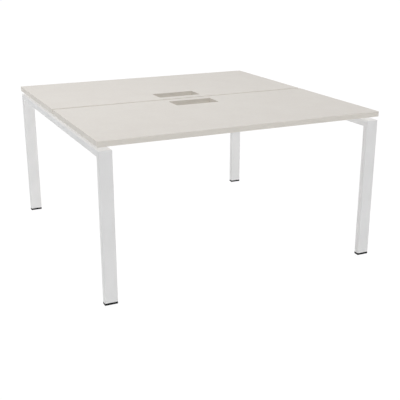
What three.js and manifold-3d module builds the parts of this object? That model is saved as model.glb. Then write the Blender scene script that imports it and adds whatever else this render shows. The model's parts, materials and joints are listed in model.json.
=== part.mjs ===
// A benching desk for two: two worktops, back to back, on two white portal frames tied by two beams.
// Millimetres, +Z up. The origin is on the floor under the middle of the desk. X runs along the
// worktops' long edges and Y runs from the front seat to the rear seat.

import * as THREE from 'three';
import { mergeVertices } from 'three/addons/utils/BufferGeometryUtils.js';
import Module from 'manifold-3d';

const wasm = await Module();
wasm.setup();

// Worktops
const topWidth = 1400;
const topDepth = 700;
const topThickness = 25;
const topGap = 15; // open slot between the two worktops
const surfaceHeight = 732; // floor to the working surface
const bandThickness = 2; // plastic edging on the worktop's four edges
const glueLine = 0.1;

// Cable cut-outs
const cutoutWidth = 230; // clear opening along X
const cutoutDepth = 108; // clear opening along Y
const cutoutSetback = 51; // worktop's inner edge to the clear opening
const cutoutRadius = 6;
const liningThickness = 1;

// Rectangular steel tube of the legs, rails and beams
const tubeWidth = 60;
const tubeDepth = 30;
const tubeWall = 2;
const tubeRadius = 3;
const tubeBoreRadius = 1; // rounding of the inside corners

// Portal frames
const frameEndInset = 3; // worktop's short end to the frame's outer face
const frameEdgeInset = 1; // worktop's long edge to the leg's outer face
const mitreGap = 0.3; // weld gap between leg and rail

// Spacers and screws under the worktops
const spacerHeight = 17; // open shadow gap between frame and worktop
const spacerDiameter = 26;
const outerSpacerSetback = 80; // leg's inner face to the spacer's middle
const innerSpacerSetback = 80; // worktop's inner edge to the spacer's middle
const screwDiameter = 6;
const screwBite = 15; // length of screw in the board
const screwPoint = 4;
const screwHeadDiameter = 12;
const screwHeadHeight = 3.5;
const screwHeadChamfer = 1;
const screwSocketFlats = 4;
const screwSocketDepth = 2;

// Beams and their bolted end plates
const beamOffset = 330; // middle of the desk to the middle of a beam
const plateWing = 20; // how far a plate stands out on each side of its beam
const plateThickness = 4;
const plateRadius = 2;
const boltDiameter = 8;
const boltReach = 9; // length of bolt beyond the rail's inner face
const boltHeadFlats = 13;
const boltHeadHeight = 5;
const boltFlangeDiameter = 17;
const boltFlangeHeight = 1.5;
const bushWall = 2; // thread drawn from the rail's wall
const bushLength = 4;

// Levelling feet
const padHeight = 8;
const padChamfer = 0.8;
const padWebBottom = 2.5; // floor to the underside of the web that the stem turns in
const padWebThickness = 2;
const plugFlange = 2; // plug's rim under the tube's end
const plugHeight = 30; // plug inside the tube
const plugRibCount = 3;
const plugRibHeight = 4;
const plugRibDepth = 2;
const plugRadius = 1.5;
const stemDiameter = 10;
const stemLength = 38; // above the collar
const stemChamfer = 1.5;
const collarDiameter = 19;
const collarHeight = 3;
const spigotDiameter = 8;
const rivetDiameter = 12;
const rivetHeight = 1.5;
const stemSocketFlats = 5;
const stemSocketDepth = 3;

// Clearance round screws, bolts and stems, and round the plugs
const fitClearance = 0.3;

// Facets
const roundSides = 16;
const fastenerSides = 12;
const cornerSteps = 2;
const plugCornerSteps = 1;
const hexSides = 6;
const cutterOverrun = 10; // how far a cutting solid reaches beyond what it cuts

// Levels and places worked out from the sizes above
const topUnderside = surfaceHeight - topThickness;
const frameTop = topUnderside - spacerHeight;
const railMidZ = frameTop - tubeDepth / 2;
const railUnderside = frameTop - tubeDepth;
const legBottom = padHeight + plugFlange;
const deskDepth = 2 * topDepth + topGap;
const legMidY = deskDepth / 2 - frameEdgeInset - tubeDepth / 2;
const frameMidX = topWidth / 2 - frameEndInset - tubeWidth / 2;
const railInnerX = frameMidX - tubeWidth / 2;
const topMidY = (topGap + topDepth) / 2;
const cutoutMidY = topGap / 2 + cutoutSetback + cutoutDepth / 2;
const outerSpacerY = legMidY - tubeDepth / 2 - outerSpacerSetback;
const innerSpacerY = topGap / 2 + innerSpacerSetback;
const boltOffset = (tubeWidth + plateWing) / 2;
const screwHole = screwDiameter + 2 * fitClearance;
const boltHole = boltDiameter + 2 * fitClearance;
const padWebTop = padWebBottom + padWebThickness;

// The desk's two ends and its two seats
const ends = [{ word: 'left', sign: -1 }, { word: 'right', sign: 1 }];
const seats = [{ word: 'front', sign: -1 }, { word: 'rear', sign: 1 }];

const finishes = {
  melamine: { color: 0xdad7d1, roughness: 0.55, metalness: 0 },
  edging: { color: 0xcecbc4, roughness: 0.5, metalness: 0 },
  powderCoat: { color: 0xe9e9e8, roughness: 0.45, metalness: 0 },
  spacerPlastic: { color: 0xdcdcda, roughness: 0.6, metalness: 0 },
  blackPlastic: { color: 0x161616, roughness: 0.6, metalness: 0 },
  zincSteel: { color: 0xb4b6b8, roughness: 0.35, metalness: 1 },
};

function piece(name, geometry, finish) {
  const mesh = new THREE.Mesh(geometry, new THREE.MeshStandardMaterial(finishes[finish]));
  mesh.name = name;
  return mesh;
}

// Closed geometry as a solid that can be joined and cut
function solid(geometry) {
  const bare = geometry.clone();
  bare.deleteAttribute('normal');
  bare.deleteAttribute('uv');
  const merged = mergeVertices(bare);
  const corners = merged.index.array;
  const triangles = [];
  for (let i = 0; i < corners.length; i += 3) {
    const [a, b, c] = corners.slice(i, i + 3);
    const collapsed = a === b || b === c || c === a;
    if (!collapsed) triangles.push(a, b, c);
  }
  return new wasm.Manifold(new wasm.Mesh({
    numProp: 3,
    vertProperties: merged.attributes.position.array,
    triVerts: new Uint32Array(triangles),
  }));
}

// A joined or cut solid as geometry with flat facets
function facets(body) {
  const mesh = body.getMesh();
  const indexed = new THREE.BufferGeometry();
  indexed.setAttribute('position', new THREE.BufferAttribute(mesh.vertProperties, 3));
  indexed.setIndex(new THREE.BufferAttribute(mesh.triVerts, 1));
  const geometry = indexed.toNonIndexed();
  geometry.computeVertexNormals();
  return geometry;
}

function cut(geometry, cutters) {
  const body = cutters.reduce((rest, cutter) => rest.subtract(solid(cutter)), solid(geometry));
  return facets(body);
}

function join(geometries) {
  return facets(geometries.map(solid).reduce((whole, part) => whole.add(part)));
}

// Rectangle with round corners, about its middle or about a point up its second axis
function roundedRectangle(width, height, radius, outline = new THREE.Shape(), middle = 0) {
  const x = width / 2 - radius;
  const y = height / 2 - radius;
  const quarter = Math.PI / 2;
  outline.absarc(x, middle + y, radius, 0, quarter);
  outline.absarc(-x, middle + y, radius, quarter, 2 * quarter);
  outline.absarc(-x, middle - y, radius, 2 * quarter, 3 * quarter);
  outline.absarc(x, middle - y, radius, 3 * quarter, 4 * quarter);
  outline.closePath();
  return outline;
}

// Rectangle with square corners, about its middle
function rectangle(width, height) {
  const outline = new THREE.Shape();
  outline.moveTo(-width / 2, -height / 2);
  outline.lineTo(width / 2, -height / 2);
  outline.lineTo(width / 2, height / 2);
  outline.lineTo(-width / 2, height / 2);
  outline.closePath();
  return outline;
}

// Wall of the tube, with its sides along the outline's first and second axes
function tubeOutline(first, second) {
  const outline = roundedRectangle(first, second, tubeRadius);
  const bore = new THREE.Path();
  outline.holes.push(roundedRectangle(first - 2 * tubeWall, second - 2 * tubeWall, tubeBoreRadius, bore));
  return outline;
}

// Prism upwards from one height to another
function prism(shape, start, end, curveSegments = cornerSteps) {
  const settings = { depth: end - start, bevelEnabled: false, curveSegments };
  return new THREE.ExtrudeGeometry(shape, settings).translate(0, 0, start);
}

// Prism along X, about its middle: the outline's axes lie along Y and Z
function prismAlongX(shape, length) {
  const along = new THREE.Matrix4();
  along.makeBasis(new THREE.Vector3(0, 1, 0), new THREE.Vector3(0, 0, 1), new THREE.Vector3(1, 0, 0));
  return prism(shape, -length / 2, length / 2).applyMatrix4(along);
}

// Prism along Y, about its middle: the outline's axes lie along Z and X
function prismAlongY(shape, length) {
  const along = new THREE.Matrix4();
  along.makeBasis(new THREE.Vector3(0, 0, 1), new THREE.Vector3(1, 0, 0), new THREE.Vector3(0, 1, 0));
  return prism(shape, -length / 2, length / 2).applyMatrix4(along);
}

// Upright bar between two heights
function barAlongZ(diameter, start, end, sides) {
  const geometry = new THREE.CylinderGeometry(diameter / 2, diameter / 2, Math.abs(end - start), sides);
  return geometry.rotateX(Math.PI / 2).translate(0, 0, (start + end) / 2);
}

// Level bar between two places along X
function barAlongX(diameter, start, end, sides) {
  const geometry = new THREE.CylinderGeometry(diameter / 2, diameter / 2, Math.abs(end - start), sides);
  return geometry.rotateZ(Math.PI / 2).translate((start + end) / 2, 0, 0);
}

// Distance across a hexagon's corners
function acrossCorners(flats) {
  return 2 * flats / Math.sqrt(3);
}

// Turned part about the Z axis, from [radius, height] steps that start and end on the axis
function turned(steps, sides) {
  const profile = steps.map(([radius, height]) => new THREE.Vector2(radius, height));
  return new THREE.LatheGeometry(profile, sides).rotateX(Math.PI / 2);
}

// Places of the screws in one worktop: two on each end rail and one on the beam
function screwPlaces(seat) {
  const places = [{ word: `${seat.word}_beam`, x: 0, y: seat.sign * beamOffset }];
  for (const end of ends) {
    const x = end.sign * frameMidX;
    places.push({ word: `${seat.word}_${end.word}_outer`, x, y: seat.sign * outerSpacerY });
    places.push({ word: `${seat.word}_${end.word}_inner`, x, y: seat.sign * innerSpacerY });
  }
  return places;
}

// Board with its cable cut-out and its screws' blind holes, about the worktop's middle
function worktopGeometry(seat) {
  const margin = 2 * (bandThickness + glueLine);
  const lip = liningThickness + glueLine;
  const outline = rectangle(topWidth - margin, topDepth - margin);
  const opening = new THREE.Path();
  roundedRectangle(cutoutWidth + 2 * lip, cutoutDepth + 2 * lip, cutoutRadius + lip, opening,
    seat.sign * (cutoutMidY - topMidY));
  outline.holes.push(opening);
  const blindHoles = screwPlaces(seat).map(({ x, y }) => {
    const hole = barAlongZ(screwHole, -cutterOverrun, screwBite + fitClearance, fastenerSides);
    return hole.translate(x, y - seat.sign * topMidY, 0);
  });
  return cut(prism(outline, 0, topThickness), blindHoles);
}

// Edging round the board, with outer corners rounded by its own thickness
function edgingGeometry() {
  const outside = prism(roundedRectangle(topWidth, topDepth, bandThickness), 0, topThickness);
  const inside = rectangle(topWidth - 2 * bandThickness, topDepth - 2 * bandThickness);
  return cut(outside, [prism(inside, -cutterOverrun, topThickness + cutterOverrun)]);
}

// Lining of the cut-out's wall
function liningGeometry() {
  const outer = 2 * liningThickness;
  const outline = roundedRectangle(cutoutWidth + outer, cutoutDepth + outer, cutoutRadius + liningThickness);
  outline.holes.push(roundedRectangle(cutoutWidth, cutoutDepth, cutoutRadius, new THREE.Path()));
  return prism(outline, 0, topThickness);
}

// Block with one face along the slope where leg and rail meet, half the weld gap beyond it.
// It takes away the rail's side of the slope (side = 1) or the leg's side (side = -1).
function mitreCutter(seat, side) {
  const size = 2 * (tubeWidth + tubeDepth);
  const block = new THREE.BoxGeometry(size, size, size);
  block.translate(0, 0, side * (size - mitreGap) / 2);
  return block.rotateX(seat.sign * Math.PI / 4);
}

// Leg about its own axis, open at the foot and mitred at the top
function legGeometry(seat) {
  const tube = prism(tubeOutline(tubeWidth, tubeDepth), legBottom, frameTop);
  return cut(tube, [mitreCutter(seat, 1).translate(0, 0, railMidZ)]);
}

// Rail about its middle, mitred at both ends. The worktops' screws pass through it, and the wall
// that faces the beams has threads drawn inwards for their bolts.
function railGeometry(end) {
  const length = 2 * legMidY + tubeDepth;
  const innerFace = -end.sign * tubeWidth / 2;
  const bushStart = innerFace + end.sign * tubeWall / 2;
  const bushEnd = innerFace + end.sign * (tubeWall + bushLength);
  const overrun = end.sign * cutterOverrun;
  const parts = [prismAlongY(tubeOutline(tubeDepth, tubeWidth), length)];
  const cutters = [];
  for (const seat of seats) {
    cutters.push(mitreCutter(seat, -1).translate(0, seat.sign * legMidY, 0));
    for (const y of [outerSpacerY, innerSpacerY]) {
      cutters.push(throughHole().translate(0, seat.sign * y, 0));
    }
    for (const offset of [-boltOffset, boltOffset]) {
      const y = seat.sign * beamOffset + offset;
      const bush = barAlongX(boltDiameter + 2 * bushWall, bushStart, bushEnd, fastenerSides);
      const bore = barAlongX(boltHole, bushStart - overrun, bushEnd + overrun, fastenerSides);
      parts.push(bush.translate(0, y, 0));
      cutters.push(bore.translate(0, y, 0));
    }
  }
  return cut(join(parts), cutters);
}

// Cutter for a screw's way down through a level tube
function throughHole() {
  const reach = tubeDepth / 2 + cutterOverrun;
  return barAlongZ(screwHole, -reach, reach, fastenerSides);
}

// Beam between its two end plates, about its middle
function beamGeometry() {
  const length = 2 * (railInnerX - plateThickness);
  return cut(prismAlongX(tubeOutline(tubeWidth, tubeDepth), length), [throughHole()]);
}

// End plate, welded to the beam and bolted to the rail
function plateGeometry() {
  const outline = roundedRectangle(tubeWidth + 2 * plateWing, tubeDepth, plateRadius);
  const plate = prismAlongX(outline, plateThickness);
  const reach = plateThickness / 2 + cutterOverrun;
  const holes = [-boltOffset, boltOffset].map((y) => {
    return barAlongX(boltHole, -reach, reach, fastenerSides).translate(0, y, 0);
  });
  return cut(plate, holes);
}

// Flanged hexagon bolt, with its seat on the plate at x = 0 and its shank towards the rail
function boltGeometry(end) {
  const flange = -end.sign * boltFlangeHeight;
  const head = -end.sign * (boltFlangeHeight + boltHeadHeight);
  return join([
    barAlongX(boltDiameter, flange, end.sign * (plateThickness + boltReach), fastenerSides),
    barAlongX(boltFlangeDiameter, flange, 0, roundSides),
    barAlongX(acrossCorners(boltHeadFlats), head, 0, hexSides),
  ]);
}

// Spacer ring that stands on the tube
function spacerGeometry() {
  const bore = barAlongZ(screwHole, -cutterOverrun, spacerHeight + cutterOverrun, fastenerSides);
  return cut(barAlongZ(spacerDiameter, 0, spacerHeight, roundSides), [bore]);
}

// Worktop screw, with its head's seat at z = 0
function screwGeometry() {
  const headRadius = screwHeadDiameter / 2;
  const shankRadius = screwDiameter / 2;
  const length = tubeDepth + spacerHeight + screwBite;
  const screw = turned([
    [0, -screwHeadHeight],
    [headRadius - screwHeadChamfer, -screwHeadHeight],
    [headRadius, screwHeadChamfer - screwHeadHeight],
    [headRadius, 0],
    [shankRadius, 0],
    [shankRadius, length - screwPoint],
    [0, length],
  ], fastenerSides);
  const socketTop = screwSocketDepth - screwHeadHeight;
  const socketStart = -screwHeadHeight - cutterOverrun;
  return cut(screw, [barAlongZ(acrossCorners(screwSocketFlats), socketStart, socketTop, hexSides)]);
}

// Ribbed plug in the leg's end, with a rim under the tube and a threaded way for the stem
function plugGeometry() {
  const width = tubeWidth - 2 * (tubeWall + fitClearance);
  const depth = tubeDepth - 2 * (tubeWall + fitClearance);
  const core = roundedRectangle(width - 2 * plugRibDepth, depth - 2 * plugRibDepth, plugRadius);
  const rib = roundedRectangle(width, depth, plugRadius);
  const plugTop = legBottom + plugHeight;
  const parts = [
    prism(roundedRectangle(tubeWidth, tubeDepth, tubeRadius), padHeight, legBottom),
    prism(core, padHeight, plugTop, plugCornerSteps),
  ];
  const pitch = plugHeight / plugRibCount;
  for (let i = 1; i <= plugRibCount; i += 1) {
    const ribTop = legBottom + i * pitch;
    parts.push(prism(rib, ribTop - plugRibHeight, ribTop, plugCornerSteps));
  }
  const stemHole = stemDiameter + 2 * fitClearance;
  return cut(join(parts), [barAlongZ(stemHole, -cutterOverrun, plugTop + cutterOverrun, roundSides)]);
}

// Foot pad, as wide as the leg, with a web that the stem is riveted through
function padGeometry() {
  const block = new THREE.ExtrudeGeometry(roundedRectangle(tubeWidth, tubeDepth, tubeRadius), {
    depth: padHeight - 2 * padChamfer,
    bevelThickness: padChamfer,
    bevelSize: padChamfer,
    bevelOffset: -padChamfer,
    bevelSegments: 1,
    curveSegments: cornerSteps,
  });
  const padOverrun = padHeight + cutterOverrun;
  return cut(block.translate(0, 0, padChamfer), [
    barAlongZ(rivetDiameter + 2 * fitClearance, -cutterOverrun, padWebBottom, roundSides),
    barAlongZ(spigotDiameter + 2 * fitClearance, -cutterOverrun, padOverrun, roundSides),
    barAlongZ(collarDiameter + 2 * fitClearance, padWebTop, padOverrun, roundSides),
  ]);
}

// Stem of the foot: a collar stands on the pad's web, and a riveted end below it takes a hexagon key
function stemGeometry() {
  const rivetTop = padWebBottom - fitClearance;
  const rivetBottom = rivetTop - rivetHeight;
  const collarTop = padWebTop + collarHeight;
  const stemTop = collarTop + stemLength;
  const stem = turned([
    [0, rivetBottom],
    [rivetDiameter / 2, rivetBottom],
    [rivetDiameter / 2, rivetTop],
    [spigotDiameter / 2, rivetTop],
    [spigotDiameter / 2, padWebTop],
    [collarDiameter / 2, padWebTop],
    [collarDiameter / 2, collarTop],
    [stemDiameter / 2, collarTop],
    [stemDiameter / 2, stemTop - stemChamfer],
    [stemDiameter / 2 - stemChamfer, stemTop],
    [0, stemTop],
  ], roundSides);
  const socketTop = rivetBottom + stemSocketDepth;
  return cut(stem, [barAlongZ(acrossCorners(stemSocketFlats), -cutterOverrun, socketTop, hexSides)]);
}

// Worktop with its edging and the lining of its cut-out
function worktop(seat) {
  const group = new THREE.Group();
  group.position.set(0, seat.sign * topMidY, topUnderside);
  const lining = piece(`cutout_lining_${seat.word}`, liningGeometry(), 'edging');
  lining.position.y = seat.sign * (cutoutMidY - topMidY);
  group.add(piece(`worktop_${seat.word}`, worktopGeometry(seat), 'melamine'));
  group.add(piece(`edging_${seat.word}`, edgingGeometry(), 'edging'));
  group.add(lining);
  return group;
}

// Spacers and screws that hold one worktop
function fixings(seat) {
  const group = new THREE.Group();
  for (const { word, x, y } of screwPlaces(seat)) {
    const spacer = piece(`spacer_${word}`, spacerGeometry(), 'spacerPlastic');
    const screw = piece(`top_screw_${word}`, screwGeometry(), 'zincSteel');
    spacer.position.set(x, y, frameTop);
    screw.position.set(x, y, railUnderside);
    group.add(spacer, screw);
  }
  return group;
}

// Levelling foot under one leg
function foot(end, seat) {
  const group = new THREE.Group();
  const place = `${seat.word}_${end.word}`;
  group.add(piece(`foot_plug_${place}`, plugGeometry(), 'blackPlastic'));
  group.add(piece(`foot_stem_${place}`, stemGeometry(), 'zincSteel'));
  group.add(piece(`foot_pad_${place}`, padGeometry(), 'blackPlastic'));
  return group;
}

// Portal frame of one end: two legs with their feet, and the rail that joins them
function portalFrame(end) {
  const group = new THREE.Group();
  group.position.x = end.sign * frameMidX;
  const rail = piece(`end_rail_${end.word}`, railGeometry(end), 'powderCoat');
  rail.position.z = railMidZ;
  group.add(rail);
  for (const seat of seats) {
    const corner = new THREE.Group();
    corner.position.y = seat.sign * legMidY;
    corner.add(piece(`leg_${seat.word}_${end.word}`, legGeometry(seat), 'powderCoat'));
    corner.add(foot(end, seat));
    group.add(corner);
  }
  return group;
}

// Beam under one worktop, with its end plates and their bolts
function beam(seat) {
  const group = new THREE.Group();
  group.position.set(0, seat.sign * beamOffset, railMidZ);
  group.add(piece(`beam_${seat.word}`, beamGeometry(), 'powderCoat'));
  for (const end of ends) {
    const plate = piece(`beam_plate_${seat.word}_${end.word}`, plateGeometry(), 'powderCoat');
    plate.position.x = end.sign * (railInnerX - plateThickness / 2);
    group.add(plate);
    for (const side of seats) {
      const bolt = piece(`beam_bolt_${seat.word}_${end.word}_${side.word}`, boltGeometry(end), 'zincSteel');
      bolt.position.set(end.sign * (railInnerX - plateThickness), side.sign * boltOffset, 0);
      group.add(bolt);
    }
  }
  return group;
}

const desk = new THREE.Group();
for (const seat of seats) desk.add(worktop(seat), fixings(seat), beam(seat));
for (const end of ends) desk.add(portalFrame(end));

export default desk;
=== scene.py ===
# %% [markdown]
# # A bench desk for two
# Two people sit face to face at this desk. Two grey boards lie back to back on two white portal
# frames of rectangular tube, and each leg stands on a black levelling foot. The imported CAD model
# already has every piece at its real size. This lesson keeps those sizes and gives the desk its
# looks: soft edges, smooth tube corners, welds, threads, and a finish for each material.
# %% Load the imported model
import json
import math

import bmesh
import bpy
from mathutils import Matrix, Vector


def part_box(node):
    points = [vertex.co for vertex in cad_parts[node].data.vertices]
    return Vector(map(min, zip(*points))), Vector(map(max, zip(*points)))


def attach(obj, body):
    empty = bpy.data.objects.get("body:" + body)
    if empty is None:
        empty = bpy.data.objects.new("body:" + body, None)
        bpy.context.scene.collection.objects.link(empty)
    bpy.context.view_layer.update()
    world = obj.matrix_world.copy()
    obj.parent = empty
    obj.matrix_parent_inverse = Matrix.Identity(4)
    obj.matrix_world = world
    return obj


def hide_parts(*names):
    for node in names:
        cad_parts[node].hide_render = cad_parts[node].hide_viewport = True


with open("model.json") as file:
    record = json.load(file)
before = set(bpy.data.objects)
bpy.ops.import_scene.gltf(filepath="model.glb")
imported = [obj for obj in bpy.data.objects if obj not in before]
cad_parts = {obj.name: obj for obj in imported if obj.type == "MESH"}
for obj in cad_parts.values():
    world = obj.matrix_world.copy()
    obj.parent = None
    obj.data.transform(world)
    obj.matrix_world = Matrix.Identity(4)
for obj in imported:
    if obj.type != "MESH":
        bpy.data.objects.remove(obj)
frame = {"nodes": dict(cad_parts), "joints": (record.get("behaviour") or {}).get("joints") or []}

X, Y, Z = 0, 1, 2
MM = 0.001
SEATS = ("front", "rear")
ENDS = ("left", "right")
OTHER = {"front": "rear", "rear": "front", "left": "right", "right": "left"}
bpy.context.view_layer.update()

# %% [markdown]
# ## The camera
# The straight edges of the desk in the photograph fix where its camera stood: about 3.5 m in front
# of the desk's middle, 1.5 m to its left and 1.45 m above the floor, with a mildly long lens. A
# camera could also be placed by eye, but then the view would carry that error along.
# %% Place the camera
CAMERA_PLACE = (-1.5513, -3.4945, 1.4542)
SENSOR_WIDTH, FOCAL_LENGTH = 36, 66.52          # in millimetres, as on a camera
yaw = math.radians(25.13)
pitch = math.radians(18.57)
gaze = Vector((math.sin(yaw) * math.cos(pitch), math.cos(yaw) * math.cos(pitch), -math.sin(pitch)))
bpy.ops.object.camera_add(location=CAMERA_PLACE, rotation=gaze.to_track_quat("-Z", "Y").to_euler())
camera = bpy.context.object
camera.data.sensor_width = SENSOR_WIDTH
camera.data.lens = FOCAL_LENGTH
bpy.context.scene.camera = camera
bpy.context.scene.view_settings.view_transform = "Standard"
print("camera at", [round(value, 3) for value in camera.location])

# %% [markdown]
# ## The studio
# The photograph has an even light from all around, and even the narrow gap under the boards stays
# bright in it. A white world at a low level gives soft light and the shadows that hold the desk to
# the floor. Five distant lamps fill in the rest, one from above and one from each corner; they cast
# no shadow, as if a reflector stood on every side. What the camera sees of the world is pure white:
# Light Path tells a camera ray from a light ray, so the background can be white without more light
# on the desk.
# %% Light from all around, and a white background
def seen_directly(tree):
    """1 for a ray that shows the background: from the camera, off a glossy face or through a clear one."""
    path = tree.nodes.new("ShaderNodeLightPath")
    either = tree.nodes.new("ShaderNodeMath")
    either.operation = "MAXIMUM"
    tree.links.new(path.outputs["Is Camera Ray"], either.inputs[0])
    tree.links.new(path.outputs["Is Glossy Ray"], either.inputs[1])
    any_of_three = tree.nodes.new("ShaderNodeMath")
    any_of_three.operation = "MAXIMUM"
    tree.links.new(either.outputs[0], any_of_three.inputs[0])
    tree.links.new(path.outputs["Is Transmission Ray"], any_of_three.inputs[1])
    return any_of_three.outputs[0]


WHITE = (1, 1, 1, 1)
ROOM_LIGHT = 0.33
world = bpy.data.worlds.new("white_studio")
bpy.context.scene.world = world
world.use_nodes = True
studio = world.node_tree
room = studio.nodes["Background"]
room.inputs["Color"].default_value = WHITE
room.inputs["Strength"].default_value = ROOM_LIGHT
backdrop = studio.nodes.new("ShaderNodeBackground")
backdrop.inputs["Color"].default_value = WHITE
backdrop.inputs["Strength"].default_value = 1
choice = studio.nodes.new("ShaderNodeMixShader")
studio.links.new(seen_directly(studio), choice.inputs["Fac"])
studio.links.new(room.outputs[0], choice.inputs[1])
studio.links.new(backdrop.outputs[0], choice.inputs[2])
studio.links.new(choice.outputs[0], studio.nodes["World Output"].inputs["Surface"])
print("world strength for light", ROOM_LIGHT)

# %% Five fill lamps
ABOVE, FRONT, REAR = 0.76, 0.78, 0.30           # strength of each lamp
SLANT = 60                                      # degrees away from straight down
FILL_HEIGHT = 3
fills = {"above": (0, 0, ABOVE), "front_right": (SLANT, 45, FRONT), "front_left": (SLANT, 315, FRONT),
         "rear_right": (SLANT, 135, REAR), "rear_left": (SLANT, 225, REAR)}
for side, (tilt, turn, strength) in fills.items():
    bpy.ops.object.light_add(type="SUN", location=(0, 0, FILL_HEIGHT),
                             rotation=(math.radians(tilt), 0, math.radians(turn)))
    fill = bpy.context.object
    fill.name = f"fill_{side}"
    fill.data.energy = strength
    fill.data.use_shadow = False
    fill.visible_glossy = False
print("fill lamps:", ", ".join(fills))

# %% [markdown]
# In the photograph the boards are a little brighter at the desk's left end. A wide lamp that hangs
# over that end and shines straight down gives the same slow falloff, and hardly reaches the legs.
# %% One wide lamp over the left end
LAMP_PLACE = (-1.0, 0.1, 2.6)
LAMP_WIDTH, LAMP_POWER = 1.6, 9.2
bpy.ops.object.light_add(type="AREA", location=LAMP_PLACE)
lamp = bpy.context.object
lamp.name = "soft_lamp"
lamp.data.shape = "DISK"
lamp.data.size = LAMP_WIDTH
lamp.data.energy = LAMP_POWER
lamp.visible_camera = False
lamp.visible_glossy = False
print("lamp of", LAMP_POWER, "W")

# %% [markdown]
# ## The floor
# The floor is a plain pale sheet far wider than the view. Light rays meet a matt white floor that
# reflects light up under the boards. The camera meets the same floor with white added, so that it
# melts into the background and only the desk's faint shadow stays on it. It lies as low as the
# levelling feet reach when they are screwed right out, so that no pose pushes a foot through it.
# %% A pale floor that keeps the shadow
FLOOR_SIZE = 80
FLOOR_TONE = 0.8                                # what light rays meet
SEEN_TONE, SEEN_WHITE = 0.12, 0.91              # what the camera meets: a shaded part, and white added
foot_travel = max(joint["range_m"][1] for joint in frame["joints"] if joint["type"] == "slide")
bpy.ops.object.select_all(action="DESELECT")
bpy.ops.mesh.primitive_plane_add(size=FLOOR_SIZE, location=(0, 0, -foot_travel))
floor = bpy.context.object
floor.name = "floor"
floor_finish = bpy.data.materials.new("pale_floor")
floor_finish.use_nodes = True
tree = floor_finish.node_tree
tree.nodes.remove(tree.nodes["Principled BSDF"])
matt_floor = tree.nodes.new("ShaderNodeBsdfDiffuse")
matt_floor.inputs["Color"].default_value = (FLOOR_TONE, FLOOR_TONE, FLOOR_TONE, 1)
shadow_part = tree.nodes.new("ShaderNodeBsdfDiffuse")
shadow_part.inputs["Color"].default_value = (SEEN_TONE, SEEN_TONE, SEEN_TONE, 1)
white_part = tree.nodes.new("ShaderNodeEmission")
white_part.inputs["Color"].default_value = WHITE
white_part.inputs["Strength"].default_value = SEEN_WHITE
seen_floor = tree.nodes.new("ShaderNodeAddShader")
tree.links.new(shadow_part.outputs[0], seen_floor.inputs[0])
tree.links.new(white_part.outputs[0], seen_floor.inputs[1])
choice = tree.nodes.new("ShaderNodeMixShader")
tree.links.new(seen_directly(tree), choice.inputs["Fac"])
tree.links.new(matt_floor.outputs[0], choice.inputs[1])
tree.links.new(seen_floor.outputs[0], choice.inputs[2])
tree.links.new(choice.outputs[0], tree.nodes["Material Output"].inputs["Surface"])
floor.data.materials.append(floor_finish)
print("floor of", FLOOR_SIZE, "m,", round(foot_travel / MM), "mm under the feet at rest")

# %% [markdown]
# ## Finishes
# Each finish starts from the Principled shader. Noise on Object coordinates gives it the small
# unevenness of the real surface at its real scale: Object coordinates are in metres here, so a
# noise scale of 500 has a grain of about 2 mm. The helpers below add one kind of node each.
# %% Helpers for finishes
NOISE_LOW, NOISE_HIGH = 0.3, 0.7                # noise seldom leaves this range


def colour(red, green, blue):
    """A colour as on a screen, 0 to 255, made linear for a shader."""
    def linear(value):
        value = value / 255
        return value / 12.92 if value <= 0.04045 else ((value + 0.055) / 1.055) ** 2.4
    return (linear(red), linear(green), linear(blue), 1)


def start_finish(name):
    finish = bpy.data.materials.new(name)
    finish.use_nodes = True
    return finish, finish.node_tree, finish.node_tree.nodes["Principled BSDF"]


def grain(tree, scale, detail=2, stretch=(1, 1, 1)):
    """Noise on Object coordinates, as a value round 0.5."""
    place = tree.nodes.new("ShaderNodeTexCoord")
    mapping = tree.nodes.new("ShaderNodeMapping")
    mapping.inputs["Scale"].default_value = stretch
    noise = tree.nodes.new("ShaderNodeTexNoise")
    noise.inputs["Scale"].default_value = scale
    noise.inputs["Detail"].default_value = detail
    tree.links.new(place.outputs["Object"], mapping.inputs["Vector"])
    tree.links.new(mapping.outputs["Vector"], noise.inputs["Vector"])
    return noise.outputs["Fac"]


def mixed(tree, first, second, share):
    """Two values mixed, with this share of the second."""
    node = tree.nodes.new("ShaderNodeMix")
    node.inputs[0].default_value = share
    tree.links.new(first, node.inputs[2])
    tree.links.new(second, node.inputs[3])
    return node.outputs[0]


def shades(tree, value, dark, light, socket):
    """Runs a noise's middle from a darker to a lighter colour, into a shader's socket."""
    ramp = tree.nodes.new("ShaderNodeValToRGB")
    ramp.color_ramp.elements[0].position = NOISE_LOW
    ramp.color_ramp.elements[0].color = dark
    ramp.color_ramp.elements[1].position = NOISE_HIGH
    ramp.color_ramp.elements[1].color = light
    tree.links.new(value, ramp.inputs["Fac"])
    tree.links.new(ramp.outputs["Color"], socket)


def levels(tree, value, low, high, socket):
    """Runs a noise's middle from a lower to a higher number, into a shader's socket."""
    node = tree.nodes.new("ShaderNodeMapRange")
    node.inputs["From Min"].default_value = NOISE_LOW
    node.inputs["From Max"].default_value = NOISE_HIGH
    node.inputs["To Min"].default_value = low
    node.inputs["To Max"].default_value = high
    tree.links.new(value, node.inputs["Value"])
    tree.links.new(node.outputs["Result"], socket)


def relief(tree, value, height, strength, socket):
    """Small bumps of about this height, into a shader's Normal."""
    bump = tree.nodes.new("ShaderNodeBump")
    bump.inputs["Distance"].default_value = height
    bump.inputs["Strength"].default_value = strength
    tree.links.new(value, bump.inputs["Height"])
    tree.links.new(bump.outputs["Normal"], socket)


print("finish helpers: colour, grain, mixed, shades, levels, relief")

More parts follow.
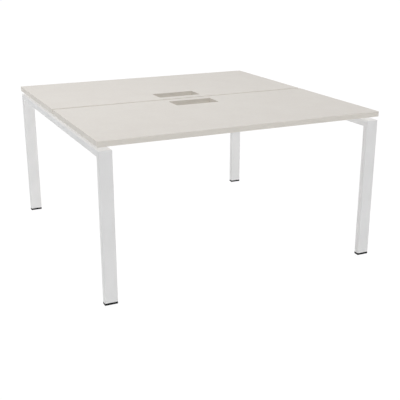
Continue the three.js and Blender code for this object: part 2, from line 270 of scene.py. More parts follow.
# %% [markdown]
# ### Melamine
# The boards wear printed paper under clear resin, pressed on a plate with a fine pearl texture. The
# print has a faint warm cloud and a fleck finer than a millimetre, and the resin is matt. The
# colour comes from two mixed noises and the texture from a third one, so that they don't line up.
# %% Warm grey melamine
melamine, tree, shader = start_finish("warm_grey_melamine")
print_cloud = grain(tree, 9, detail=3)
print_fleck = grain(tree, 1400)
shades(tree, mixed(tree, print_cloud, print_fleck, share=0.4),
       colour(204, 199, 193), colour(208, 204, 198), shader.inputs["Base Color"])
levels(tree, grain(tree, 60, detail=3), 0.48, 0.58, shader.inputs["Roughness"])
relief(tree, grain(tree, 1800), 0.05 * MM, 0.35, shader.inputs["Normal"])
shader.inputs["IOR"].default_value = 1.5
print("melamine ready")

# %% [markdown]
# ### Edging
# The edge band is plastic through and through, written a little paler than the boards: its upright
# faces get less light, and in the photograph they look only a shade deeper. It is extruded, so its
# marks are drawn out along the band. Both the long and the short edges are level, so one noise
# pressed flat in height draws its streaks along all four. The cut-outs have a lining of the same
# kind. Its deeper tone is painted shade: the walls inside a cut-out lie in shade.
# %% Extruded edge band
edging, tree, shader = start_finish("extruded_edging")
streaks = grain(tree, 1, detail=3, stretch=(25, 25, 900))
shades(tree, mixed(tree, streaks, grain(tree, 700), share=0.5),
       colour(213, 209, 201), colour(219, 214, 207), shader.inputs["Base Color"])
levels(tree, streaks, 0.42, 0.52, shader.inputs["Roughness"])
relief(tree, streaks, 0.03 * MM, 0.3, shader.inputs["Normal"])
print("edging ready")

# %% Lining of the cut-outs
lining_plastic_painted_shade, tree, shader = start_finish("cutout_lining_painted_shade")
streaks = grain(tree, 1, detail=3, stretch=(40, 40, 700))
shades(tree, mixed(tree, streaks, grain(tree, 700), share=0.5),
       # The deeper tone is painted shade. The walls inside a cut-out lie in shade that the shadowless fill
       # lamps don't give.
       colour(190, 184, 174), colour(197, 191, 182), shader.inputs["Base Color"])
levels(tree, streaks, 0.46, 0.58, shader.inputs["Roughness"])
relief(tree, streaks, 0.03 * MM, 0.3, shader.inputs["Normal"])
print("lining ready")

# %% [markdown]
# ### Powder coat
# White powder melts into a satin skin that is never quite flat: it has the shallow dimples of an
# orange's peel, a few millimetres wide. A bump of that scale breaks the reflections softly, and a
# faint unevenness in the roughness keeps a long leg from looking like one flat colour.
# %% White powder coat
powder_coat, tree, shader = start_finish("white_powder_coat")
peel = grain(tree, 420)
shades(tree, mixed(tree, grain(tree, 6), grain(tree, 900), share=0.3),
       colour(224, 224, 224), colour(230, 230, 230), shader.inputs["Base Color"])
levels(tree, grain(tree, 35, detail=3), 0.36, 0.46, shader.inputs["Roughness"])
relief(tree, peel, 0.06 * MM, 0.3, shader.inputs["Normal"])
shader.inputs["IOR"].default_value = 1.45
print("powder coat ready")

# %% [markdown]
# ### Black and white plastic, and zinc
# Feet and plugs are moulded in a spark-eroded tool, which leaves a fine matt grain on black
# plastic. The spacers are smooth white plastic. Screws, bolts and foot stems are zinc plated: a
# bright metal whose plating clouds from place to place, so colour and roughness both vary.
# %% Moulded black plastic
black_plastic, tree, shader = start_finish("moulded_black_plastic")
tool_grain = grain(tree, 2200)
shades(tree, mixed(tree, grain(tree, 90), tool_grain, share=0.5),
       colour(10, 10, 11), colour(19, 19, 20), shader.inputs["Base Color"])
levels(tree, tool_grain, 0.5, 0.66, shader.inputs["Roughness"])
relief(tree, tool_grain, 0.05 * MM, 0.5, shader.inputs["Normal"])
shader.inputs["Specular IOR Level"].default_value = 0.12
print("black plastic ready")

# %% Spacer plastic
spacer_plastic, tree, shader = start_finish("white_spacer_plastic")
shades(tree, grain(tree, 160, detail=3),
       colour(222, 222, 219), colour(225, 225, 222), shader.inputs["Base Color"])
levels(tree, grain(tree, 300), 0.46, 0.52, shader.inputs["Roughness"])
relief(tree, grain(tree, 1600), 0.03 * MM, 0.3, shader.inputs["Normal"])
print("spacer plastic ready")

# %% Zinc plate
zinc, tree, shader = start_finish("bright_zinc_plate")
shader.inputs["Metallic"].default_value = 1
clouds = grain(tree, 180, detail=4)
shades(tree, clouds, colour(176, 179, 184), colour(206, 207, 206), shader.inputs["Base Color"])
levels(tree, clouds, 0.24, 0.42, shader.inputs["Roughness"])
relief(tree, grain(tree, 2600), 0.02 * MM, 0.3, shader.inputs["Normal"])
print("zinc ready")

# %% [markdown]
# ## Working by hand, in code
# Every new piece starts as a primitive at its size and place and is then shaped in Edit Mode. A
# person would click faces and edges; here they are picked by their place or direction. An operator
# acts on all that is selected, so everything is deselected before each new start.
# %% Start, pick and take
def clear_selection():
    if bpy.context.object and bpy.context.object.mode == "EDIT":
        bpy.ops.object.mode_set(mode="OBJECT")
    bpy.ops.object.select_all(action="DESELECT")


def take(piece):
    """Makes this the one selected and active object."""
    clear_selection()
    piece.select_set(True)
    bpy.context.view_layer.objects.active = piece


def named(name):
    """Names the object just added, and puts its place into its mesh."""
    piece = bpy.context.object
    piece.name = piece.data.name = name
    bpy.ops.object.transform_apply(location=True, rotation=True, scale=True)
    return piece


def start_block(name, low, high):
    clear_selection()
    low, high = Vector(low), Vector(high)
    bpy.ops.mesh.primitive_cube_add(size=1, location=(low + high) / 2, scale=high - low)
    return named(name)


def start_round(name, diameter, start, end, sides=48):
    """A round bar from one point to another."""
    clear_selection()
    start, end = Vector(start), Vector(end)
    bpy.ops.mesh.primitive_cylinder_add(vertices=sides, radius=diameter / 2, depth=(end - start).length,
                                        location=(start + end) / 2,
                                        rotation=(end - start).to_track_quat("Z", "Y").to_euler())
    return named(name)


def pick(piece, kind, test):
    """Opens a piece for editing, with only the corners, edges or faces selected that pass a test."""
    if piece.mode != "EDIT":
        take(piece)
        bpy.ops.object.mode_set(mode="EDIT")
    bpy.ops.mesh.select_mode(type=kind)
    bpy.ops.mesh.select_all(action="DESELECT")
    mesh = bmesh.from_edit_mesh(piece.data)
    mesh.normal_update()
    parts = {"VERT": mesh.verts, "EDGE": mesh.edges, "FACE": mesh.faces}[kind]
    chosen = [part for part in parts if test(part)]
    for part in chosen:
        part.select_set(True)
    mesh.select_flush_mode()
    bmesh.update_edit_mesh(piece.data)
    return len(chosen)


print("modelling helpers: start_block, start_round, pick")

# %% [markdown]
# The tests below say in words which edges and faces are meant. An edge "along Z" is an upright one,
# a face "along Z" looks up or down, and a rim is where a level face meets an upright one.
# %% Tests for picking
STRAIGHT = 0.999                                # share of a direction that lies along its axis
END_FACE, WALL_FACE = 0.95, 0.05                # the same for a normal, in a rim's looser test
NEAR = 0.01 * MM


def edge_along(axis):
    return lambda edge: abs((edge.verts[1].co - edge.verts[0].co).normalized()[axis]) > STRAIGHT


def face_along(axis, side=0):
    """Faces that look along an axis: both ways, or only to its plus or minus side."""
    if side:
        return lambda face: side * face.normal[axis] > STRAIGHT
    return lambda face: abs(face.normal[axis]) > STRAIGHT


def open_edge(edge):
    return edge.is_boundary


def rim_along(axis, middle, outer=True):
    """Edges between an end face and a wall: the outer wall, or the inner wall of a ring."""
    def test(edge):
        ends = [face for face in edge.link_faces if abs(face.normal[axis]) > END_FACE]
        walls = [face for face in edge.link_faces if abs(face.normal[axis]) < WALL_FACE]
        if len(ends) != 1 or len(walls) != 1:
            return False
        away = walls[0].calc_center_median() - middle
        away[axis] = 0
        return (walls[0].normal.dot(away) > 0) == outer
    return test


def at_level(axis, level, test=None):
    """Those that also lie at one level along an axis."""
    def both(part):
        corners = part.verts if hasattr(part, "verts") else [part]
        level_one = all(abs(corner.co[axis] - level) < NEAR for corner in corners)
        return level_one and (test is None or test(part))
    return both


print("tests: edge_along, face_along, open_edge, rim_along, at_level")

# %% [markdown]
# The next helpers are the workshop's own steps: round off edges, hollow a block into a tube, saw it
# off at a slope, drill it, join two solids, and set a copy elsewhere. The desk looks the same after
# half a turn about its upright middle line, so a copy may also be turned by half a turn.
# %% Workshop steps
ORIGIN = Vector((0, 0, 0))
PAST = 5 * MM                                   # how far a drill runs past the faces that it opens
SMOOTH_BELOW = math.radians(32)


def round_off(piece, test, radius, steps):
    pick(piece, "EDGE", test)
    bpy.ops.mesh.bevel(offset=radius, segments=steps, affect="EDGES", clamp_overlap=True)


def draw_out(height, size=(1, 1, 1)):
    """Extrudes the picked face upwards (or downwards), then sizes its new end about the upright axis."""
    bpy.ops.mesh.extrude_region_move(TRANSFORM_OT_translate={"value": (0, 0, height)})
    bpy.ops.transform.resize(value=size, center_override=(0, 0, 0))


def hollow(piece, axis, wall):
    """Insets both end faces, takes them out, and bridges their rims through the inside."""
    pick(piece, "FACE", face_along(axis))
    bpy.ops.mesh.inset(thickness=wall)
    bpy.ops.mesh.delete(type="FACE")
    pick(piece, "EDGE", open_edge)
    bpy.ops.mesh.bridge_edge_loops()


def saw(piece, point, outwards):
    """Saws a hollow piece off along a plane and closes the wall's cut face."""
    pick(piece, "FACE", lambda face: True)
    bpy.ops.mesh.bisect(plane_co=point, plane_no=outwards, clear_outer=True)
    pick(piece, "EDGE", open_edge)
    bpy.ops.mesh.bridge_edge_loops()


def combine(piece, other, how):
    """Joins two solids, cuts one out of the other, or keeps what they share."""
    take(piece)
    step = piece.modifiers.new("combine", "BOOLEAN")
    step.operation = how
    step.solver = "EXACT"
    step.object = other
    bpy.ops.object.modifier_apply(modifier=step.name)
    bpy.data.objects.remove(other)


def drill(piece, diameter, place, axis, low, high, sides=32):
    """Drills along an axis through a place, from one level to another."""
    start, end = Vector(place), Vector(place)
    start[axis], end[axis] = low, high
    combine(piece, start_round("drill", diameter, start, end, sides), "DIFFERENCE")


def twin(piece, name, shift=(0, 0, 0), half_turn=False):
    """A copy with its own mesh, turned half round the desk's middle line if asked, then moved."""
    take(piece)
    bpy.ops.object.duplicate()
    if half_turn:
        bpy.ops.transform.rotate(value=math.pi, orient_axis="Z", center_override=(0, 0, 0))
    bpy.ops.transform.translate(value=shift)
    return named(name)


def at_corners(piece, name, neighbour, shift):
    """A front left piece and its copies: a shift takes one to a neighbouring corner, and half a turn takes
    both to the other two."""
    last = tuple(OTHER[word] for word in neighbour)
    corners = {("front", "left"): piece, neighbour: twin(piece, "_".join((name, *neighbour)), shift),
               ("rear", "right"): twin(piece, f"{name}_rear_right", half_turn=True)}
    corners[last] = twin(corners["rear", "right"], "_".join((name, *last)), -shift)
    return corners


def hand_over(piece, finish, slot, body, *nodes):
    """Smooth shading and finish; the piece rides on a body, and these CAD nodes are hidden. The slot is
    not used.
    """
    take(piece)
    bpy.ops.object.shade_smooth_by_angle(angle=SMOOTH_BELOW)
    flats = piece.modifiers.new("flat_faces_stay_flat", "WEIGHTED_NORMAL")
    flats.keep_sharp = True
    bpy.ops.object.modifier_apply(modifier=flats.name)
    piece.data.materials.clear()
    piece.data.materials.append(finish)
    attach(piece, body)
    if nodes:
        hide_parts(*nodes)
    return len(piece.data.polygons)


print("workshop steps: round_off, draw_out, hollow, saw, combine, drill, twin, at_corners, hand_over")

# %% [markdown]
# ## Worktops
# A worktop is chipboard with melamine on both faces. The CAD board has the right shape, with its
# cut-out and the blind holes for its screws, so it stays and only gets its finish. The plastic band
# round it is made anew: a block, hollowed to a ring, with its outer corners rounded by the band's
# own thickness and a fine radius along its upper and lower edges, as a trimming cutter leaves it.
# %% Boards keep their CAD shape
for seat in SEATS:
    board = frame["nodes"][f"worktop_{seat}"]
    board.data.materials.clear()
    board.data.materials.append(melamine)
print("boards of", [round(size / MM, 1) for size in board.dimensions], "mm")

# %% Edge bands
BAND, BAND_ARRIS = 2 * MM, 0.5 * MM
for seat in SEATS:
    low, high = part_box(f"edging_{seat}")
    band = start_block(f"edge_band_{seat}", low, high)
    hollow(band, Z, BAND)
    for side in (low.x, high.x):
        round_off(band, at_level(X, side, edge_along(Z)), BAND, steps=5)
    round_off(band, rim_along(Z, (low + high) / 2), BAND_ARRIS, steps=3)
    faces = hand_over(band, edging, "edging", "desk", f"edging_{seat}")
print("edge bands with", faces, "faces each")

# %% [markdown]
# The cut-out's wall is lined with a plastic strip, one millimetre thick, bent round the corners. It
# is also a hollowed block, but here the rim that hands and cables touch is the inner one.
# %% Linings of the cut-outs
LINING, LINING_CORNER, LINING_ARRIS = 1 * MM, 7 * MM, 0.35 * MM
for seat in SEATS:
    low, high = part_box(f"cutout_lining_{seat}")
    lining = start_block(f"cutout_lining_{seat}_soft", low, high)
    round_off(lining, edge_along(Z), LINING_CORNER, steps=8)
    hollow(lining, Z, LINING)
    round_off(lining, rim_along(Z, (low + high) / 2, outer=False), LINING_ARRIS, steps=2)
    faces = hand_over(lining, lining_plastic_painted_shade, "edging", "desk", f"cutout_lining_{seat}")
print("linings with", faces, "faces each")

# %% [markdown]
# ## Portal frames
# Legs and rails are one rectangular steel tube, 60 by 30 mm with a 2 mm wall and 3 mm corners. Each
# end of the desk has one rail and two legs, mitred at 45 degrees and welded into a portal. A tube
# could be a curve with a bevel, but a rounded block that is hollowed and sawn shows each step that
# the workshop takes, and its mitre is exact.
# %% Tube from a block
TUBE_WALL = 2 * MM
TUBE_RADIUS, TUBE_STEPS = 3 * MM, 6


def make_tube(name, low, high, axis):
    tube = start_block(name, low, high)
    round_off(tube, edge_along(axis), TUBE_RADIUS, TUBE_STEPS)
    hollow(tube, axis, TUBE_WALL)
    return tube


rail_low, rail_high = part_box("end_rail_left")
leg_low, leg_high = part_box("leg_front_left")
mitre_point = Vector(((leg_low.x + leg_high.x) / 2, leg_high.y, rail_low.z))
print("tube of", [round((leg_high - leg_low)[axis] / MM, 1) for axis in (X, Y)], "mm")

# %% [markdown]
# A welded mitre is ground round at its outer edge, and leg and rail have to be ground alike, or their
# sawn faces would no longer meet. So both keep only what they share with one block as large as the
# portal, whose two upper edges are rounded. The block stands a hair proud of the tube, because a
# Boolean step is safest where no faces lie in one plane. It has an odd number of steps for the same
# reason: an even number would put an edge right into the mitre's plane.
# %% Grind the portal's corners
GROUND_RADIUS = 2 * MM
HAIR = 0.02 * MM


def grind_corners(piece):
    low = Vector((rail_low.x - PAST, leg_low.y - HAIR, leg_low.z - PAST))
    high = Vector((rail_high.x + PAST, HAIR - leg_low.y, rail_high.z + HAIR))
    portal = start_block("portal", low, high)
    round_off(portal, at_level(Z, high.z, edge_along(X)), GROUND_RADIUS, steps=5)
    combine(piece, portal, "INTERSECT")


print("corners to be ground to a radius of", round(GROUND_RADIUS / MM, 1), "mm")

# %% Legs
leg = make_tube("leg_tube_front_left", leg_low, (leg_high.x, leg_high.y, rail_high.z), Z)
saw(leg, mitre_point, (0, 1, 1))
grind_corners(leg)
across = Vector((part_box("leg_front_right")[0].x - leg_low.x, 0, 0))
legs = at_corners(leg, "leg_tube", ("front", "right"), across)
for (seat, end), leg in legs.items():
    faces = hand_over(leg, powder_coat, "powder_coat", "desk", f"leg_{seat}_{end}")
print("four legs with", faces, "faces each")

# %% [markdown]
# The rail is sawn at both ends. It also has the holes of its real joints: two screws for each board
# pass up through it, and its inner wall takes the beams' bolts. The holes are drilled after sawing,
# because a hole's rim would be in the way of the sawn faces.
# %% Rails
def middle_of(node):
    low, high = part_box(node)
    return (low + high) / 2


SCREW_HOLE = 6.6 * MM
BOLT_HOLE = 8.6 * MM
rail_start = (rail_low.x, leg_low.y, rail_low.z)
rail_end = (rail_high.x, -leg_low.y, rail_high.z)
rail = make_tube("rail_tube_left", rail_start, rail_end, Y)
saw(rail, mitre_point, (0, -1, -1))
saw(rail, Vector((mitre_point.x, -mitre_point.y, mitre_point.z)), (0, 1, -1))
for seat in SEATS:
    for row in ("outer", "inner"):
        hole = middle_of(f"spacer_{seat}_left_{row}")
        drill(rail, SCREW_HOLE, hole, Z, rail_low.z - PAST, rail_high.z + PAST)
    for side in SEATS:
        hole = middle_of(f"beam_bolt_{seat}_left_{side}")
        drill(rail, BOLT_HOLE, hole, X, rail_high.x - TUBE_WALL - PAST, rail_high.x + PAST)
grind_corners(rail)
rails = {"left": rail, "right": twin(rail, "rail_tube_right", half_turn=True)}
for end, rail in rails.items():
    faces = hand_over(rail, powder_coat, "powder_coat", "desk", f"end_rail_{end}")
print("two rails with", faces, "faces each")

# %% [markdown]
# ## Welds
# The mitres are ground flush outside, so no bead shows there. In the portal's inner corner the weld
# stays as it was laid: a small fillet with the ripples of the torch, thin at its start and its end.
# A block is set into the corner, cut into short lengths, and bevelled along its free edge until only
# the fillet is left. Every second ring is then drawn out a little from the corner, and the first and
# last ring are drawn in. It is painted with the frame, so it takes the same powder coat.
# %% Lay a weld bead
BEAD_STEP = 2 * MM
RIPPLE, TAPER = 1.14, 0.4
BEAD_CUT, BEAD_PROFILE = 0.94, 0.3              # a profile of 0.25 would be flat and one of 0.5 round


def lay_bead(name, corner, size, axis):
    """A fillet weld along an axis; size gives its length on that axis, and how far and to which side it
    reaches from the corner on the other two."""
    corner, size = Vector(corner), Vector(size)
    half = Vector((0, 0, 0))
    half[axis] = size[axis] / 2
    near = corner - half
    far = near + size
    bead = start_block(name, map(min, near, far), map(max, near, far))
    rings = 2 * round(size[axis] / BEAD_STEP / 2)
    pick(bead, "EDGE", edge_along(axis))
    bpy.ops.mesh.subdivide(number_cuts=rings - 1)
    others = [side for side in (X, Y, Z) if side != axis]

    def free_edge(edge):
        return edge_along(axis)(edge) and all(abs(point.co[side] - far[side]) < NEAR
                                              for point in edge.verts for side in others)

    def ring(point):
        return round((point.co[axis] - near[axis]) / size[axis] * rings)

    pick(bead, "EDGE", free_edge)
    bpy.ops.mesh.bevel(offset=BEAD_CUT * abs(size[others[0]]), segments=4, affect="EDGES",
                       profile=BEAD_PROFILE)
    for test, factor in ((lambda point: ring(point) % 2 == 1, RIPPLE),
                         (lambda point: ring(point) in (0, rings), TAPER)):
        pick(bead, "VERT", test)
        stretch = Vector((factor, factor, factor))
        stretch[axis] = 1
        bpy.ops.transform.resize(value=stretch, center_override=corner)
    return bead


BEAD = 3.5 * MM
width = leg_high.x - leg_low.x - 2 * TUBE_RADIUS
weld = lay_bead("mitre_weld_front_left", mitre_point, (width, BEAD, -BEAD), X)
for weld in at_corners(weld, "mitre_weld", ("front", "right"), across).values():
    faces = hand_over(weld, powder_coat, "powder_coat", "desk")
print("four mitre welds with", faces, "faces each")

# %% [markdown]
# ## Beams
# Two beams of the same tube, laid flat, tie the portals together under the boards. Each ends in a
# welded plate with two bolts into the rail. The photograph hides them, so they stay plain: a tube,
# a plate with softened edges, and a fine weld on each side, just narrow enough for the bolt's flange.
# %% Beams and their end plates
beam_low, beam_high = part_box("beam_front")
to_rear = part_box("beam_rear")[0] - beam_low
beam = make_tube("beam_tube_front", beam_low, beam_high, X)
hole = middle_of("spacer_front_beam")
drill(beam, SCREW_HOLE, hole, Z, beam_low.z - PAST, beam_high.z + PAST)
beams = {"front": beam, "rear": twin(beam, "beam_tube_rear", to_rear)}
for seat, beam in beams.items():
    faces = hand_over(beam, powder_coat, "powder_coat", "desk", f"beam_{seat}")
print("two beams with", faces, "faces each")

# %% End plates
PLATE_CORNER, PLATE_ARRIS = 2 * MM, 0.5 * MM
plate_low, plate_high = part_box("beam_plate_front_left")
plate = start_block("end_plate_front_left", plate_low, plate_high)
round_off(plate, edge_along(X), PLATE_CORNER, steps=4)
round_off(plate, rim_along(X, (plate_low + plate_high) / 2), PLATE_ARRIS, steps=2)
for side in SEATS:
    hole = middle_of(f"beam_bolt_front_left_{side}")
    drill(plate, BOLT_HOLE, hole, X, plate_low.x - PAST, plate_high.x + PAST)
plates = at_corners(plate, "end_plate", ("rear", "left"), to_rear)
for (seat, end), plate in plates.items():
    faces = hand_over(plate, powder_coat, "powder_coat", "desk", f"beam_plate_{seat}_{end}")
print("four end plates with", faces, "faces each")

# %% Welds of the end plates
FINE_BEAD = 1.2 * MM
height = beam_high.z - beam_low.z - 2 * TUBE_RADIUS
beam_middle = middle_of("beam_front")
for side, wall in (("front", beam_low.y), ("rear", beam_high.y)):
    reach = FINE_BEAD if side == "rear" else -FINE_BEAD
    weld = lay_bead(f"plate_weld_front_left_{side}", (plate_high.x, wall, beam_middle.z),
                    (FINE_BEAD, reach, height), Z)
    turned = twin(weld, f"plate_weld_rear_right_{OTHER[side]}", half_turn=True)
    laid = [weld, turned, twin(weld, f"plate_weld_rear_left_{side}", to_rear),
            twin(turned, f"plate_weld_front_right_{OTHER[side]}", -to_rear)]
    for bead in laid:
        faces = hand_over(bead, powder_coat, "powder_coat", "desk")
print("eight plate welds with", faces, "faces each")

# %% [markdown]
# ## Bolts
# The beam bolts are hexagon bolts with a flange. The hexagon is a six-sided cylinder; real heads
# are also turned to a cone on top, which cuts each corner off in an arc, so the hexagon keeps only
# what it shares with a cone. Head, flange and shank are then joined to one solid. The bolt is made
# standing at the origin with its seat at zero, laid down, and set in its places.
# %% One flanged bolt
def across_corners(flats):
    """The diameter through the corners of a hexagon of this width across its flats."""
    return 2 * flats / math.sqrt(3)


BOLT, BOLT_FLATS, FLANGE = 8 * MM, 13 * MM, 17 * MM
FLANGE_HEIGHT, FLANGE_EDGE = 1.5 * MM, 0.7 * MM
HEAD_HEIGHT, HEAD_CONE, BOLT_CHAMFER = 6.5 * MM, 0.4 * MM, 0.8 * MM
CONE_SPREAD = 2                                 # how much the cone widens for each step down
HEAD_START, SHANK_TOP = 0.5 * MM, 1 * MM        # both inside the flange, to join with it
bolt_low, bolt_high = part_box("beam_bolt_front_left_front")
shank = HEAD_HEIGHT - (bolt_high.x - bolt_low.x)
bolt = start_round("bolt", across_corners(BOLT_FLATS), (0, 0, HEAD_START), (0, 0, HEAD_HEIGHT), 6)
clear_selection()
cone_top = BOLT_FLATS / 2 - HEAD_CONE
bpy.ops.mesh.primitive_cone_add(vertices=64, radius1=cone_top + CONE_SPREAD * HEAD_HEIGHT,
                                radius2=cone_top, depth=HEAD_HEIGHT, location=(0, 0, HEAD_HEIGHT / 2))
combine(bolt, named("cone"), "INTERSECT")
flange = start_round("flange", FLANGE, (0, 0, 0), (0, 0, FLANGE_HEIGHT))
round_off(flange, at_level(Z, FLANGE_HEIGHT), FLANGE_EDGE, steps=3)
combine(bolt, flange, "UNION")
bar = start_round("bar", BOLT, (0, 0, shank), (0, 0, SHANK_TOP), 32)
round_off(bar, at_level(Z, shank), BOLT_CHAMFER, steps=1)
combine(bolt, bar, "UNION")
take(bolt)
bolt.rotation_euler.y = math.radians(90)
named("bolt")
print("bolt from", [round(value / MM, 1) for value in bolt.bound_box[0]], "mm")

# %% Bolts in their places
for seat in SEATS:
    for side in SEATS:
        place = middle_of(f"beam_bolt_{seat}_left_{side}")
        left = twin(bolt, f"flange_bolt_{seat}_left_{side}", (plate_high.x, place.y, place.z))
        opposite = f"{OTHER[seat]}_right_{OTHER[side]}"
        right = twin(left, f"flange_bolt_{opposite}", half_turn=True)
        hand_over(left, zinc, "zinc_steel", "desk", f"beam_bolt_{seat}_left_{side}")
        faces = hand_over(right, zinc, "zinc_steel", "desk", f"beam_bolt_{opposite}")
bpy.data.objects.remove(bolt)
print("eight bolts with", faces, "faces each")

# %% [markdown]
# ## Spacers and screws
# The boards float 17 mm above the frame on plastic spacers, and a screw from below passes through
# tube and spacer into each board. A spacer is a short bar with softened rims and a bore. A screw
# starts as its head: the rim is rounded, the upper face is inset to the shank's size and drawn up,
# and a hexagon socket is cut into the head from below.
# %% One spacer and one screw
SPACER_EDGE, HEAD_EDGE = 0.8 * MM, 1.2 * MM
HEAD, SOCKET, SOCKET_DEPTH = 12 * MM, 4 * MM, 2 * MM
SCREW, TIP, TIP_SHARE = 6 * MM, 4 * MM, 0.08    # the tip ends in this share of the shank's width
spacer_low, spacer_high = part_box("spacer_front_beam")
spacer = start_round("spacer", spacer_high.x - spacer_low.x, (0, 0, spacer_low.z), (0, 0, spacer_high.z))
round_off(spacer, rim_along(Z, ORIGIN), SPACER_EDGE, steps=3)
drill(spacer, SCREW_HOLE, ORIGIN, Z, spacer_low.z - PAST, spacer_high.z + PAST)
screw_low, screw_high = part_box("top_screw_front_beam")
screw = start_round("screw", HEAD, (0, 0, screw_low.z), (0, 0, rail_low.z))
round_off(screw, at_level(Z, screw_low.z), HEAD_EDGE, steps=4)
pick(screw, "FACE", face_along(Z, 1))
bpy.ops.mesh.inset(thickness=(HEAD - SCREW) / 2)
draw_out(screw_high.z - rail_low.z - TIP)
draw_out(TIP, (TIP_SHARE, TIP_SHARE, 1))
drill(screw, across_corners(SOCKET), ORIGIN, Z, screw_low.z - PAST, screw_low.z + SOCKET_DEPTH, 6)
print("spacer", len(spacer.data.polygons), "faces, screw", len(screw.data.polygons), "faces")

# %% Spacers and screws in their places
spots = [f"{seat}_beam" for seat in SEATS]
spots += [f"{seat}_{end}_{row}" for seat in SEATS for end in ENDS for row in ("outer", "inner")]
for spot in spots:
    place = middle_of(f"spacer_{spot}")
    shift = (place.x, place.y, 0)
    ring = twin(spacer, f"spacer_ring_{spot}", shift)
    hand_over(ring, spacer_plastic, "spacer_plastic", "desk", f"spacer_{spot}")
    hand_over(twin(screw, f"board_screw_{spot}", shift), zinc, "zinc_steel", "desk", f"top_screw_{spot}")
bpy.data.objects.remove(spacer)
bpy.data.objects.remove(screw)
print(len(spots), "spacers and screws set")

# %% [markdown]
# ## Levelling feet
# A foot is three pieces. A ribbed plug is driven into the leg and shows only its thin rim. A stem
# with an M10 thread turns in the plug, and the black pad is riveted to the stem's lower end, so
# turning the stem with a hexagon key from below moves the pad. Each foot rides on its own bodies:
# the pad slides, and the stem slides with it and turns.
# %% The plug
plug_low, plug_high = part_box("foot_plug_front_left")
RIM, RIB_GAP, RIB_HEIGHT, RIB_SLOPE = 2 * MM, 6 * MM, 4 * MM, 0.5 * MM
RIB_IN, CORE_IN = TUBE_WALL + 0.3 * MM, TUBE_WALL + 2.3 * MM
CORE_RADIUS = 1.5 * MM
THREAD, PLAY = 10 * MM, 0.6 * MM
half = (plug_high - plug_low) / 2
rim_top = plug_low.z + RIM
plug = start_block("plug", (CORE_IN - half.x, CORE_IN - half.y, rim_top - RIM / 2),
                   (half.x - CORE_IN, half.y - CORE_IN, rim_top + RIB_GAP))
round_off(plug, edge_along(Z), CORE_RADIUS, steps=3)
pick(plug, "FACE", face_along(Z, 1))
wider = Vector(((half.x - RIB_IN) / (half.x - CORE_IN), (half.y - RIB_IN) / (half.y - CORE_IN), 1))
narrower = Vector((1 / wider.x, 1 / wider.y, 1))
RIBS = round((plug_high.z - rim_top) / (RIB_GAP + RIB_HEIGHT))
for rib in range(RIBS):
    draw_out(RIB_SLOPE, wider)
    draw_out(RIB_HEIGHT - RIB_SLOPE)
    if rib + 1 < RIBS:
        draw_out(0, narrower)
        draw_out(RIB_GAP)
rim = start_block("rim", (-half.x, -half.y, plug_low.z), (half.x, half.y, rim_top))
round_off(rim, edge_along(Z), TUBE_RADIUS, TUBE_STEPS)
combine(plug, rim, "UNION")
drill(plug, THREAD + PLAY, ORIGIN, Z, plug_low.z - PAST, plug_high.z + PAST, 48)
print("plug with", RIBS, "ribs and", len(plug.data.polygons), "faces")

# %% The pad
pad_low, pad_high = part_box("foot_pad_front_left")
WEB_LOW, WEB_HIGH, PAD_EDGE = 2.5 * MM, 4.5 * MM, 0.5 * MM
NECK, RIVET, COLLAR = 8 * MM, 12 * MM, 19 * MM
pad = start_block("pad", (-half.x, -half.y, pad_low.z), (half.x, half.y, pad_high.z))
round_off(pad, edge_along(Z), TUBE_RADIUS, TUBE_STEPS)
round_off(pad, rim_along(Z, ORIGIN), PAD_EDGE, steps=3)
drill(pad, RIVET + PLAY, ORIGIN, Z, pad_low.z - PAST, WEB_LOW, 48)
drill(pad, NECK + PLAY, ORIGIN, Z, pad_low.z - PAST, pad_high.z + PAST, 48)
drill(pad, COLLAR + PLAY, ORIGIN, Z, WEB_HIGH, pad_high.z + PAST, 64)
print("pad with", len(pad.data.polygons), "faces")

# %% [markdown]
# The thread is made as on a lathe: one tooth of its profile, half a diamond, is swept up a screw
# line by the Screw modifier, once for each pitch. Neighbouring turns share their root line, so
# their doubles are merged, the ends are cut level and closed, and a bar with a chamfered end trims
# the thread to its length.
# %% The stem's thread
stem_low, stem_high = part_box("foot_stem_front_left")
PITCH = 1.5 * MM
DEPTH = 0.61 * PITCH                            # the usual depth of a metric thread
SPARE_TURNS = 3                                 # swept past each end, and cut off again
CUT_PAST, TRIM_PAST, TRIM_WIDER = 0.8 * MM, 0.5 * MM, 1 * MM
STEM_CHAMFER = 1.9 * MM
COLLAR_HEIGHT = 3 * MM
COLLAR_TOP = WEB_HIGH + COLLAR_HEIGHT
root = THREAD / 2 - DEPTH
clear_selection()
bpy.ops.mesh.primitive_circle_add(vertices=4, radius=PITCH / 2, rotation=(math.radians(90), 0, 0),
                                  location=(root, 0, COLLAR_TOP - SPARE_TURNS * PITCH))
bpy.context.object.scale.x = DEPTH / (PITCH / 2)
stem = named("stem")
pick(stem, "VERT", lambda point: point.co.x < root - NEAR)
bpy.ops.mesh.delete(type="VERT")
take(stem)
turns = math.ceil((stem_high.z - COLLAR_TOP) / PITCH) + 2 * SPARE_TURNS
sweep = stem.modifiers.new("thread", "SCREW")
sweep.axis = "Z"
sweep.screw_offset = PITCH
sweep.iterations = turns
sweep.steps = sweep.render_steps = 24
bpy.ops.object.modifier_apply(modifier=sweep.name)
pick(stem, "VERT", lambda point: True)
bpy.ops.mesh.remove_doubles(threshold=NEAR)
for level, outwards in ((COLLAR_TOP - CUT_PAST, -1), (stem_high.z + CUT_PAST, 1)):
    pick(stem, "FACE", lambda face: True)
    bpy.ops.mesh.bisect(plane_co=(0, 0, level), plane_no=(0, 0, outwards), clear_outer=True, use_fill=True)
pick(stem, "FACE", lambda face: True)
bpy.ops.mesh.normals_make_consistent(inside=False)
trim = start_round("trim", THREAD + TRIM_WIDER, (0, 0, COLLAR_TOP - TRIM_PAST), (0, 0, stem_high.z), 64)
round_off(trim, at_level(Z, stem_high.z), STEM_CHAMFER, steps=1)
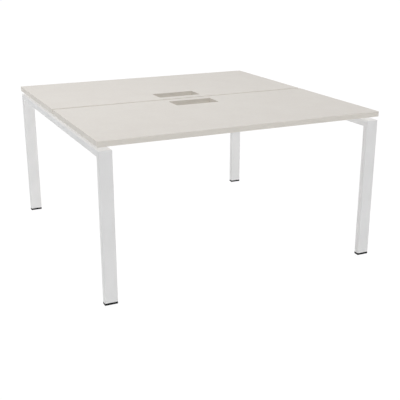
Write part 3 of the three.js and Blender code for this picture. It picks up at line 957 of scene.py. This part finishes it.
combine(stem, trim, "INTERSECT")
print("thread of", turns, "turns,", len(stem.data.polygons), "faces")

# %% [markdown]
# Below the thread the stem has a collar that stands on the pad's web, a thin neck through the web,
# and a riveted end with a hexagon socket. The collar is a bar; its lower face is inset to the neck,
# drawn down, widened to the rivet and drawn down again.
# %% The stem's collar and rivet
KEY, KEY_DEPTH = 5 * MM, 3 * MM
COLLAR_EDGE, RIVET_EDGE, RIVET_PLAY = 0.5 * MM, 0.4 * MM, 0.3 * MM
collar = start_round("collar", COLLAR, (0, 0, WEB_HIGH), (0, 0, COLLAR_TOP))
round_off(collar, at_level(Z, COLLAR_TOP), COLLAR_EDGE, steps=2)
pick(collar, "FACE", face_along(Z, -1))
bpy.ops.mesh.inset(thickness=(COLLAR - NECK) / 2)
neck_end = WEB_LOW - RIVET_PLAY
draw_out(neck_end - WEB_HIGH)
draw_out(0, (RIVET / NECK, RIVET / NECK, 1))
draw_out(stem_low.z - neck_end)
round_off(collar, at_level(Z, stem_low.z), RIVET_EDGE, steps=2)
combine(stem, collar, "UNION")
drill(stem, across_corners(KEY), ORIGIN, Z, stem_low.z - PAST, stem_low.z + KEY_DEPTH, 6)
print("stem with", len(stem.data.polygons), "faces, from", round(stem_low.z / MM, 2), "to",
      round(stem_high.z / MM, 2), "mm")

# %% Feet under the four legs
for seat in SEATS:
    for end in ENDS:
        spot = f"{seat}_{end}"
        place = middle_of(f"foot_pad_{spot}")
        shift = (place.x, place.y, 0)
        foot_plug = twin(plug, f"plug_{spot}", shift)
        hand_over(foot_plug, black_plastic, "black_plastic", "desk", f"foot_plug_{spot}")
        foot_pad = twin(pad, f"pad_{spot}_moulded", shift)
        hand_over(foot_pad, black_plastic, "black_plastic", f"pad_{spot}", f"foot_pad_{spot}")
        foot_stem = twin(stem, f"stem_{spot}_threaded", shift)
        hand_over(foot_stem, zinc, "zinc_steel", f"stem_{spot}", f"foot_stem_{spot}")
for pattern in (plug, pad, stem):
    bpy.data.objects.remove(pattern)
print("four feet set")
